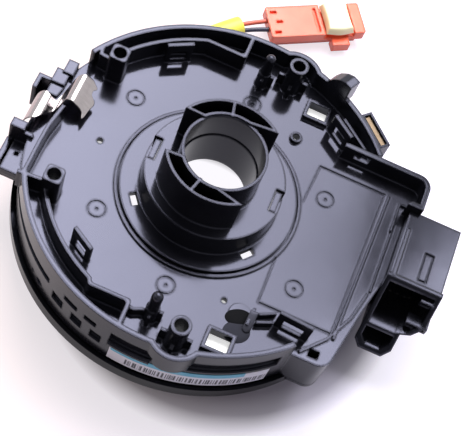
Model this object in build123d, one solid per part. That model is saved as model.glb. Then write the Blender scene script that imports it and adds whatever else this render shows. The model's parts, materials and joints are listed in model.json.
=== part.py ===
from build123d import *

import math
import os

# Steering clock spring: the rotary coupling between a steering wheel and its column.
# A ribbon cable coils up between a fixed housing and a rotor, so that the wheel can turn
# two and a half times each way while horn and airbag stay connected.
# Millimetres. +Z is the steering axis, towards the column. The plate's upper face is z = 0.
# +X points at the vehicle-side connector. Named heights are z values.

os.makedirs("parts", exist_ok=True)

# Housing
plate_top = 0.0
plate_thickness = 1.8
case_radius = 53.0
wall_thickness = 1.5
wall_top = 6.4
skirt_thickness = 2.2
skirt_bottom = -16.0
opening_radius = 24.6
recess_width = 1.6
recess_depth = 0.8
bead_width = 0.9
bead_height = 0.7
inner_wall_thickness = 1.1
upper_wall_inset = 4.8
lower_wall_inset = 5.6
web_inset = 8.9
web_corner = 1.0
groove_depth = 0.3

# Recesses in the skirt and the wall's foot: first and last angle, low and high edge
skirt_recess_depth = 1.3
skirt_recesses = ((207.0, 236.5, -3.8, -1.2), (196.5, 199.5, -6.0, -1.2), (202.5, 206.0, -6.0, -1.2),
                  (243.5, 248.8, -1.9, 0.4), (251.6, 256.0, -1.9, 0.4), (238.8, 243.6, -8.5, -4.4),
                  (247.3, 251.5, -9.0, -4.8), (254.7, 258.6, -9.0, -4.8), (261.0, 274.5, -4.7, 1.0),
                  (285.0, 313.0, -4.7, 1.0))
# Dimples: angle, height and radius
skirt_dimples = ((232.2, -10.6, 1.3), (228.1, -10.1, 0.6))
ledge_angles = (260.9, 274.2)
ledge_reach = 0.6
ledge_top = -4.9
ledge_thickness = 1.0

# Extension of the housing towards the connector
extension_inset = 22.4
extension_reach = 6.0
extension_bottom_inset = 16.4
extension_corner_inset = 4.4
extension_root_inset = 33.0
extension_waist_drop = 11.0
extension_skirt = -14.2
extension_corner = 4.0
panel_inset = 5.2
panel_overlap = 2.4
panel_length = 49.4
panel_line = 0.5

# Wheel-side ring
ring_wall = 1.4
ring_bottom = -19.0
ring_top = -14.6
ring_lip_inset = 3.8
ring_lip_thickness = 0.9
ring_gap = 0.2

# Rotor
running_gap = 0.4
axial_gap = 0.2
hub_wall = 1.3
disc_thickness = 1.5
collar_offset = 5.3
collar_wall = 2.5
rest_height = -28.0
drive_peg_radius = 2.5
drive_peg_end = -26.0
drive_peg_angles = (20.0, 200.0)
socket_width = 22.0
socket_share = 0.55
socket_mouth = -27.0
socket_wall = 1.2
socket_floor = 2.0
socket_key = 4.0
socket_key_height = 5.0
socket_pin_columns = 6
socket_pin_share = 0.2

# Cancelling cam
bore_radius = 10.9
bore_upper_radius = 11.2
bore_step = 13.0
tube_wall = 0.8
tube_top = 22.4
lobe_depth = 5.4
lobe_top = 23.0
lobe_wall = 0.8
cam_disc_margin = 3.6
cam_disc_top = 10.0
cam_disc_thickness = 1.4
cam_flange_gap = 0.5
cam_flange_top = 1.3
cam_flange_thickness = 1.9
latch_width = 7.5
latch_depth = 3.0

# Ribbon cable
ribbon_thickness = 0.5
ribbon_turns = 7
ribbon_offset = 5.0
ribbon_outer_gap = 6.4
ribbon_margin = 0.4
sheet_thickness = 0.25

# Screw bosses, locating posts and towers
boss_top = 11.2
boss_hole_radius = 1.9
boss_wall = 1.0
square_boss_wall = 0.75
mark_radius = 2.7
mark_line = 0.3
mark_centre = 0.45
post_top = 14.0
post_shoulder = 6.0
post_radius = 1.6
post_step = 0.35
tower_top = 8.0
tower_thickness = 1.1

# Vehicle-side connector
plug_block_offset = 2.8
plug_block_gap = 0.1
plug_block_width = 16.0
plug_block_narrow = 10.4
plug_block_setback = 11.2
plug_block_length = 23.3
plug_block_overhang = 13.5
plug_block_top = 4.0
plug_block_bottom = -16.0
plug_wall = 1.0
plug_rim = 0.4
plug_rim_depth = 1.2
ridge_offset = 0.7
ridge_width = 1.1
ridge_height = 0.5
pocket_offset = 8.0
pocket_width = 2.9
pocket_setback = 2.6
pocket_length = 9.5
pocket_line = 0.5
cavity_depth = 13.0
divider_height = -9.6
divider_thickness = 1.0
pin_size = 0.64
carrier_length = 16.0
carrier_top = -2.5
carrier_bottom = -12.5

# Label on the skirt
label_thickness = 0.15
label_top = -6.0
label_bottom = -13.7
label_angles = (262.0, 311.0)

# Metal clips and the hook tab, with their angles round the axis
sheet_metal = 0.5
outer_leaf = (-4.9, 6.0)
inner_leaf = (4.4, 16.0)
right_clip_angle = 45.9
right_clip_width = 10.0
right_clip_low = -5.0
right_clip_high = 5.2
right_clip_offset = 0.7
right_clip_depth = 1.7
right_frame_margin = 0.3
right_frame_wall = 0.7
right_frame_top = 6.0
right_frame_window = 7.2
hook_angle = 63.8
hook_width = 7.8
hook_top = 12.4
hook_reach = 2.6

# Pigtail
sleeve_radius = 3.4
sleeve_bore = 2.5
wire_radius = 0.75
wire_offset = 1.1
entry_offset = 1.7
pigtail_angle = 139.0
pigtail_steps = ((0, 0), (-0.36, 14.36), (2.14, 28.36), (9.14, 41.36), (18.04, 51.36))
nose_step = (26.24, 54.86)
gland_wall = 1.6
gland_length = 7.0
gland_neck = 5.0
gland_slot = 0.6
squib_length = 33.2
squib_width = 12.1
squib_height = 7.2
squib_shell = 3.6
squib_inset = 1.8
squib_angle = 32.8
lock_start = 19.1
lock_length = 9.9
lock_thickness = 2.8
lock_stand = 0.8
lock_travel = 1.6
lock_leg_length = 2.0
lock_leg_gap = 0.05
lock_margin = 0.2

# Derived values shared by several pieces
plate_bottom = plate_top - plate_thickness
recess_radius = opening_radius + recess_width
bead_radius = recess_radius + bead_width
upper_wall_radius = case_radius - upper_wall_inset
lower_wall_radius = case_radius - lower_wall_inset
web_line = case_radius - web_inset
extension_top = case_radius - extension_inset
extension_right = case_radius + extension_reach
extension_bottom = -(case_radius - extension_bottom_inset)
extension_root = case_radius - extension_root_inset
plug_block_left = case_radius + plug_block_offset
plug_block_right = plug_block_left + plug_block_width
extension_edge = plug_block_left - plug_block_gap
plug_block_back = extension_top - plug_block_setback
plug_block_mouth_top = plug_block_back - plug_block_length
plug_block_mouth_bottom = plug_block_mouth_top - plug_block_overhang
extension_waist = plug_block_mouth_top - extension_waist_drop
ring_radius = case_radius + ring_wall
ring_lip = case_radius - ring_lip_inset
lobe_radius = bore_upper_radius + lobe_depth
cam_disc_radius = lobe_radius + cam_disc_margin
cam_flange_radius = recess_radius - cam_flange_gap
cam_flange_bottom = cam_flange_top - cam_flange_thickness
hub_outer = opening_radius - running_gap
hub_inner = hub_outer - hub_wall
lip_top = ring_bottom + ring_lip_thickness
disc_bottom = lip_top + axial_gap
disc_top = disc_bottom + disc_thickness
skirt_inner = case_radius - skirt_thickness
disc_radius = skirt_inner - 0.1
collar_inner = hub_outer + collar_offset
collar_outer = collar_inner + collar_wall
under_disc_radius = (collar_outer + ring_lip) / 2
socket_depth = socket_share * (ring_lip - collar_outer)
socket_x = (-socket_width / 2, socket_width / 2)
socket_y = (-under_disc_radius - socket_depth / 2, -under_disc_radius + socket_depth / 2)
ribbon_inner = hub_outer + ribbon_offset
ribbon_pitch = (skirt_inner - ribbon_outer_gap - ribbon_inner) / ribbon_turns
boss_outer_radius = boss_hole_radius + boss_wall
lower_bulge_radius = boss_outer_radius + 5.3
upper_bulge_radius = boss_outer_radius + 5.7
sleeve_height = rest_height + sleeve_radius
entry_height = rest_height + squib_height - squib_shell / 2
lock_low = squib_height - lock_thickness + lock_stand + lock_travel
lock_seat = lock_low - lock_travel - lock_margin


def polar(radius, degrees):
    angle = math.radians(degrees)
    return (radius * math.cos(angle), radius * math.sin(angle))


# Route of the pigtail, from the gland under the rotor to the plug on the table
pigtail_start = polar(under_disc_radius, pigtail_angle)
pigtail_route = [(pigtail_start[0] + x, pigtail_start[1] + y, sleeve_height) for x, y in pigtail_steps]
squib_nose = (pigtail_start[0] + nose_step[0], pigtail_start[1] + nose_step[1])


def inside(inset, degrees):
    """A place on the plate, given by its distance from the case's edge and its angle."""
    return polar(case_radius - inset, degrees)


def prism(points, low, high):
    face = make_face(Polyline(*points, close=True))
    return Pos(0, 0, low) * extrude(face, high - low)


def block(x, y, z):
    """A box between pairs of limits."""
    centre = [(pair[0] + pair[1]) / 2 for pair in (x, y, z)]
    size = [pair[1] - pair[0] for pair in (x, y, z)]
    return Pos(*centre) * Box(*size)


def disc(radius, low, high, at=(0, 0)):
    return Pos(at[0], at[1], (low + high) / 2) * Cylinder(radius, high - low)


def ring(outer, inner, low, high, at=(0, 0)):
    margin = 0.5
    return disc(outer, low, high, at) - disc(inner, low - margin, high + margin, at)


def sector(outer, inner, start, end, low, high):
    """Part of a ring between two angles."""
    span = end - start
    edges = [
        CenterArc((0, 0), outer, start, span),
        CenterArc((0, 0), inner, start, span),
        Line(polar(inner, start), polar(outer, start)),
        Line(polar(inner, end), polar(outer, end)),
    ]
    return Pos(0, 0, low) * extrude(make_face(edges), high - low)


def turned(profile, axis=Axis.Z):
    """A ring whose section is a list of (radius, height) points."""
    face = make_face(Polyline(*[(r, 0, z) for r, z in profile], close=True))
    return revolve(face, axis)


def wall(points, thickness, low, high, corner=0.0):
    """A straight-sided rib along a line of points, mitred or rounded at its corners."""
    half = thickness / 2
    left = []
    right = []
    for index, point in enumerate(points):
        before = points[max(index - 1, 0)]
        after = points[min(index + 1, len(points) - 1)]
        into = Vector(point[0] - before[0], point[1] - before[1])
        away = Vector(after[0] - point[0], after[1] - point[1])
        if into.length == 0:
            into = away
        if away.length == 0:
            away = into
        into = into.normalized()
        away = away.normalized()
        normal = Vector(-into.Y - away.Y, into.X + away.X).normalized()
        reach = half / normal.dot(Vector(-into.Y, into.X))
        left.append((point[0] + normal.X * reach, point[1] + normal.Y * reach))
        right.append((point[0] - normal.X * reach, point[1] - normal.Y * reach))
    face = make_face(Polyline(*left, *right[::-1], close=True))
    if corner:
        bends = left[1:-1] + right[1:-1]
        face = fillet([vertex for vertex in face.vertices()
                       if any(math.hypot(vertex.X - x, vertex.Y - y) < 0.01 for x, y in bends)], corner)
    return Pos(0, 0, low) * extrude(face, high - low)


def extension_outline():
    """Plan of the extension, with its outer corners rounded."""
    points = [
        (extension_root, extension_top),
        (extension_right, extension_top),
        (extension_right, plug_block_back),
        (extension_edge, plug_block_back),
        (extension_edge, plug_block_mouth_top),
        (case_radius - 0.1, extension_waist),
        (case_radius - extension_corner_inset, extension_bottom),
        (extension_root, extension_bottom),
    ]
    face = make_face(Polyline(*points, close=True))
    rounded = [corner for corner in face.vertices()
               if corner.X > extension_root + 1
               and (corner.Y > plug_block_back + 1 or corner.Y < extension_waist - 1)]
    return fillet(rounded, extension_corner)


def case_outline():
    bulges = Pos(*lower_boss_place) * Circle(lower_bulge_radius) + Pos(*upper_boss_place) * Circle(upper_bulge_radius)
    return Circle(case_radius) + extension_outline() + bulges


# Places on the plate, each by its distance from the case's edge and its angle
lower_boss_place = inside(5.5, 279.3)
upper_boss_place = inside(6.7, 77.9)
round_boss_places = (lower_boss_place, upper_boss_place)
left_boss_places = (inside(7.5, 148.6), inside(8.2, 208.1))
post_places = (inside(10.8, 88.4), inside(10.1, 268.8))
gate_marks = [inside(inset, angle) for inset, angle in (
    (17.2, 147.6), (20.3, 216.7), (20.5, 269.5), (15.8, 331.6), (18.3, 22.9), (19.0, 87.5))]
windows = ((inside(8.2, 63.0), 5.8, 4.8), (inside(6.8, 293.9), 6.2, 5.1))
window_frame = 1.0
window_frame_height = 1.6
pilot_place = inside(19.5, 59.1)
pilot_radius = 1.1
# Cover panel over the leads: left, right, back and front
panel_top = 0.5 * case_radius - 3.1
panel_limits = (bead_radius - panel_overlap, case_radius - panel_inset, panel_top, panel_top - panel_length)
# Middle of each tower's foot, the way it faces and its width
towers = ((inside(11.1, 233.0), -32, 7.7), (inside(6.0, 319.7), -4, 10.0), (inside(8.2, 123.2), 32, 8.0),
          (inside(8.3, 50.2), -37, 8.4))


def latch_tower(at, turn, width, height=tower_top):
    """An upright plate with a window for a snap hook."""
    half = width / 2
    plate = block((-half, half), (-tower_thickness / 2, tower_thickness / 2), (plate_top - 1, height))
    reach = 0.3 * width
    plate -= block((-reach, reach), (-tower_thickness, tower_thickness), (plate_top + 1.0, height - 3.0))
    return Pos(at[0], at[1], 0) * Rot(0, 0, turn) * plate


def square_boss(at):
    half = boss_hole_radius + square_boss_wall
    return Pos(at[0], at[1], 0) * extrude(RectangleRounded(2 * half, 2 * half, 1.2), boss_top)


def locating_post(at):
    fin = 0.9
    foot = post_radius + post_step
    reach = post_radius + 1.6
    post = disc(post_radius, plate_bottom + 1, post_top - post_radius, at)
    post += Pos(at[0], at[1], post_top - post_radius) * Sphere(post_radius)
    post += disc(foot, plate_top - 1, post_shoulder, at)
    post += block((at[0] - fin / 2, at[0] + fin / 2), (at[1] - reach, at[1] + reach),
                  (plate_top - 1, post_shoulder - 1))
    post += block((at[0], at[0] + reach), (at[1] - fin / 2, at[1] + fin / 2), (plate_top - 1, post_shoulder - 1))
    return post


def raised_walls():
    """The walls that stand on the plate."""
    outer = sector(case_radius, case_radius - wall_thickness, 36.5, 153.0, plate_top - 1, wall_top)
    outer += sector(case_radius, case_radius - wall_thickness, 203.0, 316.0, plate_top - 1, wall_top)
    for place, radius in ((lower_boss_place, lower_bulge_radius), (upper_boss_place, upper_bulge_radius)):
        bulge = ring(radius, radius - wall_thickness, plate_top - 1, wall_top, place)
        outer += bulge - disc(case_radius - 0.2, plate_top - 2, wall_top + 1)
        outer -= disc(radius - wall_thickness, plate_top, wall_top + 1, place)
    base = plate_top - 1
    upper = sector(upper_wall_radius, upper_wall_radius - inner_wall_thickness, 112.0, 145.0, base, wall_top)
    web = case_radius - wall_thickness / 2
    upper += wall([polar(upper_wall_radius - inner_wall_thickness / 2, 113), (-18.1, web_line),
                   (-6.1, web_line), (-6.1, web - 0.5)], inner_wall_thickness, base, wall_top, web_corner)
    lower = sector(lower_wall_radius, lower_wall_radius - inner_wall_thickness, 208.0, 246.0, base, wall_top)
    lower += wall([polar(lower_wall_radius - inner_wall_thickness / 2, 245.5), (-18.6, -web_line),
                   (-7.3, -web_line), (-7.3, -web + 0.5)], inner_wall_thickness, base, wall_top, web_corner)
    side = case_radius - 5.0
    left = wall([(-side + 1.3, 3.0), (-side + 0.1, -5.0), (-side, -11.0), inside(0.8, 203.5)],
                inner_wall_thickness, base, wall_top)
    left += wall([left_boss_places[1], (-side - 1.5, left_boss_places[1][1] - 0.9)],
                 inner_wall_thickness, base, wall_top)
    left += wall([left_boss_places[0], (-side + 3.8, 24.2), inside(0.8, 149.0)], inner_wall_thickness, base, wall_top)
    rim = extension_outline() - offset(extension_outline(), -wall_thickness)
    rim &= Pos(extension_right, plug_block_back + 10) * Rectangle(2 * (extension_right - 31.2), 20)
    frame = Pos(0, 0, base) * extrude(rim, wall_top - base)
    window = block((case_radius - 18.1, case_radius - 13.3), (extension_top - 3, extension_top + 1),
                   (plate_top + 2.2, wall_top - 1.2))
    rib = wall([inside(5.0, 54.0), inside(4.2, 40.5)], 0.8, base, wall_top - 1.2)
    return outer + upper + lower + left + frame - window + rib


def rear_case():
    """Column-side housing, with everything that is moulded on it."""
    outline = case_outline()
    body = Pos(0, 0, plate_bottom) * extrude(outline, plate_thickness)
    shell = extension_outline() - offset(extension_outline(), -wall_thickness)
    shell -= Circle(case_radius - 0.5)
    body += Pos(0, 0, extension_skirt) * extrude(shell, plate_bottom - extension_skirt + 0.5)
    body += ring(case_radius, skirt_inner, skirt_bottom, plate_bottom + 0.5)
    body += raised_walls()
    body = trim_outside(body)
    for place, width, depth in windows:
        frame = 2 * window_frame
        body += Pos(*place, plate_bottom) * extrude(
            Rectangle(width + frame, depth + frame), plate_thickness + window_frame_height)
        body -= Pos(*place, plate_bottom - 1) * extrude(Rectangle(width, depth), wall_top + plate_thickness + 1)
    for place in round_boss_places:
        body += disc(boss_outer_radius, plate_bottom, boss_top, place)
    for place in left_boss_places:
        body += square_boss(place)
    for place in post_places:
        body += locating_post(place)
    for at, turn, width in towers:
        body += latch_tower(at, turn, width)
    body += left_clip_bracket()
    body += right_clip_frame()
    body += hook_tab()
    body += plate_details()
    for place in round_boss_places + left_boss_places:
        body -= disc(boss_hole_radius, plate_bottom - 1, boss_top + 1, place)
    body -= disc(opening_radius, plate_bottom - 1, wall_top)
    body += ring(bead_radius, recess_radius, plate_bottom, plate_top + bead_height)
    body -= disc(recess_radius, plate_top - recess_depth, wall_top)
    for place in gate_marks:
        body -= ring(mark_radius, mark_radius - mark_line, plate_top - mark_line, plate_top + 1, place)
        body -= disc(mark_centre, plate_top - mark_line, plate_top + 1, place)
    for place, radius in ((inside(19.1, 178.3), 0.9), (inside(19.3, 298.3), 0.8), (pilot_place, pilot_radius)):
        body -= disc(radius, plate_bottom - 1, plate_top + 3, place)
    body -= panel_groove()
    x, y = inside(-2.4, 322.5)
    body -= block((x - 1.5, x + 1.5), (y - 1.2, y + 1.2), (plate_bottom - 1, plate_top + 1))
    body -= disc(3.0, plate_top - 0.9, plate_top + 1, inside(14.8, 303.7))
    return body


def panel_groove():
    """Shallow line that outlines the cover panel over the leads."""
    left, right, top, low = panel_limits
    depths = (plate_top - groove_depth, plate_top + 1)
    outline = wall([(left + 2.5, top), (right, top), (right - 1.2, low), (left, low), (left, low + 15.0)],
                   panel_line, *depths)
    return outline + wall([(left + 2.5, top + panel_line / 2), (left + 1.5, 0.36 * bead_radius)],
                          panel_line, *depths)


def plate_details():
    """Low ribs, ridges and small bosses on the plate."""
    base = plate_top - 0.5
    right = panel_limits[1]
    parts = wall([(right + 1.3, panel_limits[2]), (right - 0.2, panel_limits[3] - 1.5)], 0.7, base, plate_top + 0.7)
    parts += wall([(extension_edge - 2.6, 16.0), (extension_edge - 2.8, -9.0)], 0.6, base, plate_top + 0.5)
    corner = (extension_edge - 2.9, plug_block_back + 2.6)
    parts += wall([(corner[0], 12.0), corner, (extension_right - 1.0, corner[1])], 0.6, base, plate_top + 0.9)
    parts += ring(pilot_radius + 0.7, pilot_radius, base, plate_top + 1.2, pilot_place)
    parts += wall([(24.5, -29.0), (24.0, -34.6)], 0.9, base, plate_top + 2.0)
    parts += wall([(26.0, -30.4), (30.4, -28.0)], 0.8, base, plate_top + 2.4)
    parts += wall([(26.0, -33.0), (30.4, -31.0)], 0.8, base, plate_top + 2.4)
    parts += wall([(-7.0, -44.0), (-5.6, -44.2), (-3.6, -43.2), (-2.2, -43.2)], 0.9, base, plate_top + 3.0)
    parts += wall([inside(-0.1, 318.8), inside(-0.9, 328.7), inside(-0.8, 339.3), (extension_edge - 3.3, -10.0)],
                  0.7, base, plate_top + 0.7)
    for place, turn in ((lower_boss_place, 0), (upper_boss_place, 90)):
        fins = Box(9.2, 1.0, 5.0) + Box(1.0, 9.2, 5.0)
        parts += Pos(place[0], place[1], 2.0) * Rot(0, 0, turn) * fins
    return parts


def trim_outside(body):
    """What is moulded in the skirt's outside: recesses, dimples and a ledge over the label."""
    for start, end, low, high in skirt_recesses:
        body -= sector(case_radius + 3, case_radius - skirt_recess_depth, start, end, low, high)
    for angle, height, radius in skirt_dimples:
        body -= Rot(0, 0, angle) * Pos(case_radius, 0, height) * Rot(0, 90, 0) * Cylinder(radius, 2.0)
    return body + sector(case_radius + ledge_reach, case_radius - 0.5, *ledge_angles,
                         ledge_top - ledge_thickness, ledge_top)


def left_clip_bracket():
    """Arms beside the left clip, with the pockets that its feet sit in."""
    far = -case_radius
    arms = block((far - 5.2, far + 3.0), (8.2, 13.4), (-9.0, 0.8)) - block((far - 3.9, far - 0.9), (6.0, 12.2), (-7.0, 2.0))
    arms += block((far - 1.2, far + 3.0), (12.0, 17.0), (-7.0, 1.6))
    arms += block((far + 0.8, far + 4.0), (16.0, 20.8), (-6.0, 2.2))
    arms += block((far - 4.9, far - 0.6), (-7.8, -5.0), (-12.0, 3.2)) + block((far - 0.8, far + 2.0), (-7.8, -6.6), (-9.0, 1.4))
    arms += block((far - 5.2, far - 3.6), (-15.5, -7.8), (-12.0, -3.6))
    arms += block((far - 2.9, far + 3.0), (-18.2, -8.0), (-6.0, -3.2)) - block((far - 1.1, far + 0.1), (-12.6, -11.4), (-7.0, -2.0))
    arms += block((far - 5.2, far + 3.0), (-15.5, -8.0), (-12.0, -10.4))
    arms += block((far - 1.8, far + 3.0), (-8.0, 9.0), (-9.0, -3.4))
    return arms - disc(skirt_inner + 0.4, skirt_bottom, wall_top + 1)


def right_clip_frame():
    """Frame outside the wall that holds the right clip."""
    slot_half = right_clip_width / 2 + right_frame_margin
    slot = (case_radius + right_clip_offset - 0.2, case_radius + right_clip_offset + right_clip_depth + 0.2)
    outer_half = slot_half + right_frame_wall
    frame = block((case_radius - 0.6, slot[1] + right_frame_wall), (-outer_half, outer_half),
                  (right_clip_low - 1.0, right_frame_top))
    frame -= block(slot, (-slot_half, slot_half), (right_clip_low, right_frame_top + 1))
    window_half = right_frame_window / 2
    frame -= block((slot[0] + 0.5, slot[1] + 2), (-window_half, window_half),
                   (right_clip_low + 1.0, right_clip_high - 1.6))
    return Rot(0, 0, right_clip_angle) * frame


def hook_tab():
    """Curved tab with a sloping top that stands on the wall, with a flange at its crest."""
    low, high, half = plate_top, hook_top, hook_width / 2
    inner = case_radius - 1.4
    profile = [(-half, low), (half, low), (half, wall_top), (half - 1.2, wall_top + 2.6), (half - 3.2, high - 1.2),
               (half - 5.4, high), (-half, high)]
    face = make_face(Polyline(*[(0, y, z) for y, z in profile], close=True))
    plate = Pos(inner - 2, 0, 0) * extrude(face, hook_reach + 8, dir=(1, 0, 0))
    tab = plate & ring(case_radius + 0.4, inner, low, high)
    skin = plate - Pos(0, 0, -1.1) * plate
    hood = skin & ring(case_radius + hook_reach, inner, wall_top, high)
    side = plate & sector(case_radius + hook_reach, inner, -5.0, math.degrees((1.2 - half) / case_radius),
                          wall_top - 2.0, high)
    return Rot(0, 0, hook_angle) * (tab + hood + side)


def front_ring():
    """Wheel-side ring, snapped over the skirt; its lip carries the rotor's edge."""
    socket = case_radius + ring_gap
    return turned([(ring_lip, ring_bottom), (ring_radius, ring_bottom), (ring_radius, ring_top),
                   (socket, ring_top), (socket, skirt_bottom), (disc_radius + running_gap, skirt_bottom),
                   (disc_radius + running_gap, lip_top), (ring_lip, lip_top)])


def rotor():
    """Wheel-side rotor: hub sleeve, disc and the collar that faces the wheel."""
    flare = hub_inner + 0.6
    body = turned([(hub_inner, cam_flange_bottom), (hub_outer, cam_flange_bottom), (hub_outer, disc_top),
                   (disc_radius, disc_top), (disc_radius, disc_bottom), (collar_outer, disc_bottom),
                   (collar_outer, rest_height), (collar_inner, rest_height), (collar_inner, disc_bottom),
                   (flare, disc_bottom), (hub_inner, disc_bottom + 1.0)])
    half = latch_width / 2 - 0.5
    finger_outer = math.sqrt((cam_disc_radius - cam_disc_thickness) ** 2 - half ** 2) - 0.2
    finger = finger_outer - (cam_disc_radius - latch_depth) - 0.2
    ledge = (cam_flange_bottom - 4.0, cam_flange_bottom - 2.4)
    for side in (1, -1):
        inner = finger_outer - finger
        low, high = sorted((side * inner, side * finger_outer))
        body += block((low, high), (-half, half), (ledge[0], cam_disc_top - 0.6))
        low, high = sorted((side * inner, side * (hub_inner + 0.5)))
        body += block((low, high), (-half, half), ledge)
        low, high = sorted((side * inner, side * (finger_outer + 0.9)))
        body += block((low, high), (-half, half), (cam_disc_top - 2.2, cam_disc_top - 0.6))
    for angle in drive_peg_angles:
        body += disc(drive_peg_radius, drive_peg_end, disc_bottom, polar(under_disc_radius, angle))
    return body


def lobe_region(start, end, tube_start, tube_end):
    """Plan of one cam lobe: the ring between the bore tube and the lobe's outer face."""
    far = 3 * lobe_radius
    points = []
    for outer_angle, tube_angle in ((start, tube_start), (end, tube_end)):
        outer_point = Vector(*polar(lobe_radius, outer_angle))
        tube_point = Vector(*polar(bore_upper_radius + tube_wall / 2, tube_angle))
        beyond = outer_point + (outer_point - tube_point).normalized() * lobe_radius
        points.append(((tube_point.X, tube_point.Y), (beyond.X, beyond.Y)))
    middle = (start + end) / 2
    outline = [points[0][0], points[0][1], polar(far, start + 12), polar(far, middle),
               polar(far, end - 12), points[1][1], points[1][0]]
    wedge = make_face(Polyline(*outline, close=True))
    return (Circle(lobe_radius) - Circle(bore_upper_radius + tube_wall / 2)) & wedge


def cancel_cam():
    """Cam that cancels the indicator switch: bore tube, two lobes, disc, skirt and flange."""
    tube_outer = bore_upper_radius + tube_wall
    skirt_inside = cam_disc_radius - cam_disc_thickness
    disc_low = cam_disc_top - cam_disc_thickness
    body = turned([(bore_radius, cam_flange_bottom), (tube_outer, cam_flange_bottom), (tube_outer, disc_low),
                   (skirt_inside, disc_low), (skirt_inside, cam_flange_bottom),
                   (cam_flange_radius, cam_flange_bottom), (cam_flange_radius, cam_flange_top),
                   (cam_disc_radius, cam_flange_top), (cam_disc_radius, cam_disc_top),
                   (tube_outer, cam_disc_top), (tube_outer, tube_top), (bore_upper_radius, tube_top),
                   (bore_upper_radius, bore_step), (bore_radius, bore_step)])
    for start, end, tube_start, tube_end, rib in ((47.0, 152.5, 75.5, 140.0, 101.0),
                                                  (205.0, 306.0, 214.5, 279.0, 254.5)):
        region = lobe_region(start, end, tube_start, tube_end)
        hollow = offset(region, -lobe_wall)
        lobe = region - hollow
        body += Pos(0, 0, disc_low) * extrude(lobe, lobe_top - disc_low)
        middle = (lobe_radius + bore_radius) / 2
        rib_plate = Box(lobe_radius - bore_upper_radius - 0.6, lobe_wall, lobe_top - disc_low)
        body += Rot(0, 0, rib) * Pos(middle, 0, (lobe_top + disc_low) / 2) * rib_plate
    for side in (1, -1):
        low, high = sorted((side * (cam_disc_radius - latch_depth), side * (cam_disc_radius + 1)))
        body -= block((low, high), (-latch_width / 2, latch_width / 2), (cam_disc_top - 3.0, cam_disc_top + 1))
    for angle in (215.0, 320.0):
        body -= Rot(0, 0, angle) * block((cam_disc_radius + 0.7, cam_disc_radius + 2.8), (-2.0, 2.0),
                                         (cam_flange_bottom - 1, cam_flange_top + 1))
    return body


def slide_sheet():
    """Film ring that the ribbon's edges run on, under the plate."""
    return ring(skirt_inner - 0.4, hub_outer + 1.0, plate_bottom - 0.3 - sheet_thickness, plate_bottom - 0.3)


def flat_cable():
    """Ribbon wound in the chamber, drawn as one spiral of even pitch."""
    low = disc_top + ribbon_margin
    high = plate_bottom - 0.3 - sheet_thickness - ribbon_margin
    steps = 24
    outer = []
    inner = []
    for index in range(ribbon_turns * steps + 1):
        angle = index * 360 / steps
        radius = ribbon_inner + ribbon_pitch * index / steps
        outer.append(polar(radius + ribbon_thickness, angle))
        inner.append(polar(radius, angle))
    return prism(outer + inner[::-1], low, high)


def inner_cable_holder():
    """Block on the hub that grips the ribbon's inner end."""
    return sector(ribbon_inner - 0.3, hub_outer, -16, 16, disc_top, plate_bottom - 2.0)


def outer_cable_holder():
    """Block at the skirt that grips the ribbon's outer end."""
    reach = ribbon_inner + ribbon_pitch * ribbon_turns + ribbon_thickness + 0.3
    return sector(skirt_inner, reach, -15, 15, disc_top + ribbon_margin, plate_bottom - 1.2)


def terminal_cover():
    """Plate that closes the extension on the wheel side."""
    face = extension_outline() - Circle(ring_radius + ring_gap)
    pieces = face.faces().sort_by(SortBy.AREA)
    plate = Pos(0, 0, extension_skirt - 1.5) * extrude(pieces[-1], 1.5)
    return plate


mouth_slope = (plug_block_mouth_bottom - plug_block_mouth_top) / (plug_block_bottom - plug_block_top)


def slanted_block(x, top, bottom, mouth_shift=0.0, back=plug_block_back):
    """A solid between two heights whose front face follows the connector's slanting mouth."""
    front_top = plug_block_mouth_top + (top - plug_block_top) * mouth_slope + mouth_shift
    front_bottom = plug_block_mouth_top + (bottom - plug_block_top) * mouth_slope + mouth_shift
    points = [(x[0], back, top), (x[0], front_top, top), (x[0], front_bottom, bottom), (x[0], back, bottom)]
    face = make_face(Polyline(*points, close=True))
    return extrude(face, x[1] - x[0], dir=(1, 0, 0))


cavity_left = plug_block_left + plug_wall
cavity_right = plug_block_right - plug_wall
narrow_right = plug_block_left + plug_block_narrow
divider_top = divider_height + divider_thickness / 2
divider_bottom = divider_height - divider_thickness / 2
cavity_back = plug_block_mouth_top + cavity_depth


def connector_section(inset):
    """Section across the connector: wide at the top, narrow below, set in from its outer faces."""
    left, right, narrow = plug_block_left + inset, plug_block_right - inset, narrow_right - inset
    top, low = plug_block_top - inset, plug_block_bottom + inset
    points = [(left, top), (right, top), (right, -5.0), (right - 2.8, -8.0), (narrow, divider_top + 0.2),
              (narrow, low + 2.4), (narrow - 2.0, low), (left + 2.0, low), (left, low + 2.0)]
    return make_face(Polyline(*[(x, 0, z) for x, z in points], close=True))


def connector_length(inset, front_shift, back):
    """A solid with the connector's section that ends at its slanting mouth."""
    section = Pos(0, plug_block_mouth_bottom - 10, 0) * extrude(
        connector_section(inset), back - plug_block_mouth_bottom + 10, dir=(0, 1, 0))
    wide = (plug_block_left - 2, plug_block_right + 2)
    return section & slanted_block(wide, plug_block_top + 2, plug_block_bottom - 2, front_shift, back)


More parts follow.
